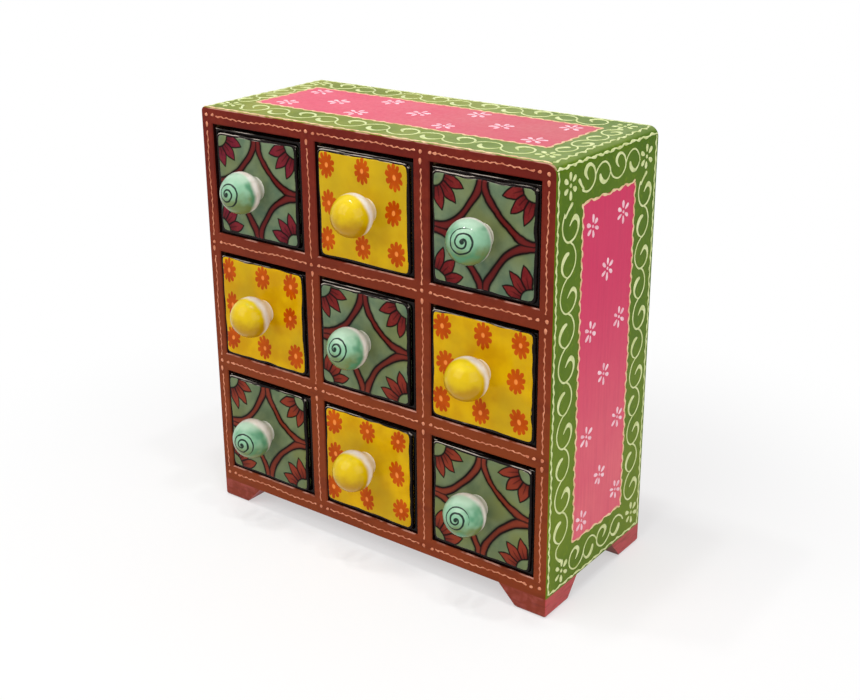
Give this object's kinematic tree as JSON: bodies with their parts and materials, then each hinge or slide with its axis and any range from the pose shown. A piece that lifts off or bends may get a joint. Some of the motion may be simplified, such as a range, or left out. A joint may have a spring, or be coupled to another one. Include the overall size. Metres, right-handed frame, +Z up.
{
  "type": "tabletop chest of drawers",
  "caption": "Small painted wooden tabletop chest with a square grid of sliding drawers, each with a glazed tile face and a round ceramic knob, on bracket feet.",
  "frame": {"origin": "on the ground under the middle of the whole chest, knobs included", "axes": "+X to the right seen from the front, +Y from the drawer fronts to the back, +Z up"},
  "size_m": [0.23, 0.1222, 0.24],
  "materials": {
    "painted_wood": "satin",
    "bare_wood": "matte",
    "black_wood": "gloss",
    "celadon_glaze": "gloss",
    "yellow_glaze": "gloss",
    "steel": "satin"
  },
  "bodies": {
    "case": {"top_board": "painted_wood", "bottom_board": "painted_wood", "left_side": "painted_wood", "right_side": "painted_wood", "upper_shelf": "painted_wood", "lower_shelf": "painted_wood", "left_divider": "painted_wood", "right_divider": "painted_wood", "back_panel": "painted_wood", "back_pins": "steel", "front_left_foot": "painted_wood", "front_right_foot": "painted_wood", "rear_left_foot": "painted_wood", "rear_right_foot": "painted_wood"},
    "drawer_11": {"drawer_11_front": "black_wood", "drawer_11_box": "bare_wood", "drawer_11_tile": "celadon_glaze", "drawer_11_knob": "celadon_glaze", "drawer_11_knob_bolt": "steel"},
    "drawer_12": {"drawer_12_front": "black_wood", "drawer_12_box": "bare_wood", "drawer_12_tile": "yellow_glaze", "drawer_12_knob": "yellow_glaze", "drawer_12_knob_bolt": "steel"},
    "drawer_13": {"drawer_13_front": "black_wood", "drawer_13_box": "bare_wood", "drawer_13_tile": "celadon_glaze", "drawer_13_knob": "celadon_glaze", "drawer_13_knob_bolt": "steel"},
    "drawer_21": {"drawer_21_front": "black_wood", "drawer_21_box": "bare_wood", "drawer_21_tile": "yellow_glaze", "drawer_21_knob": "yellow_glaze", "drawer_21_knob_bolt": "steel"},
    "drawer_22": {"drawer_22_front": "black_wood", "drawer_22_box": "bare_wood", "drawer_22_tile": "celadon_glaze", "drawer_22_knob": "celadon_glaze", "drawer_22_knob_bolt": "steel"},
    "drawer_23": {"drawer_23_front": "black_wood", "drawer_23_box": "bare_wood", "drawer_23_tile": "yellow_glaze", "drawer_23_knob": "yellow_glaze", "drawer_23_knob_bolt": "steel"},
    "drawer_31": {"drawer_31_front": "black_wood", "drawer_31_box": "bare_wood", "drawer_31_tile": "celadon_glaze", "drawer_31_knob": "celadon_glaze", "drawer_31_knob_bolt": "steel"},
    "drawer_32": {"drawer_32_front": "black_wood", "drawer_32_box": "bare_wood", "drawer_32_tile": "yellow_glaze", "drawer_32_knob": "yellow_glaze", "drawer_32_knob_bolt": "steel"},
    "drawer_33": {"drawer_33_front": "black_wood", "drawer_33_box": "bare_wood", "drawer_33_tile": "celadon_glaze", "drawer_33_knob": "celadon_glaze", "drawer_33_knob_bolt": "steel"}
  },
  "joints": [
    {"name": "drawer_11_slide", "type": "slide", "parent": "case", "child": "drawer_11", "axis": [0, -1, 0], "range_m": [0, 0.07]},
    {"name": "drawer_12_slide", "type": "slide", "parent": "case", "child": "drawer_12", "axis": [0, -1, 0], "range_m": [0, 0.07]},
    {"name": "drawer_13_slide", "type": "slide", "parent": "case", "child": "drawer_13", "axis": [0, -1, 0], "range_m": [0, 0.07]},
    {"name": "drawer_21_slide", "type": "slide", "parent": "case", "child": "drawer_21", "axis": [0, -1, 0], "range_m": [0, 0.07]},
    {"name": "drawer_22_slide", "type": "slide", "parent": "case", "child": "drawer_22", "axis": [0, -1, 0], "range_m": [0, 0.07]},
    {"name": "drawer_23_slide", "type": "slide", "parent": "case", "child": "drawer_23", "axis": [0, -1, 0], "range_m": [0, 0.07]},
    {"name": "drawer_31_slide", "type": "slide", "parent": "case", "child": "drawer_31", "axis": [0, -1, 0], "range_m": [0, 0.07]},
    {"name": "drawer_32_slide", "type": "slide", "parent": "case", "child": "drawer_32", "axis": [0, -1, 0], "range_m": [0, 0.07]},
    {"name": "drawer_33_slide", "type": "slide", "parent": "case", "child": "drawer_33", "axis": [0, -1, 0], "range_m": [0, 0.07]}
  ]
}
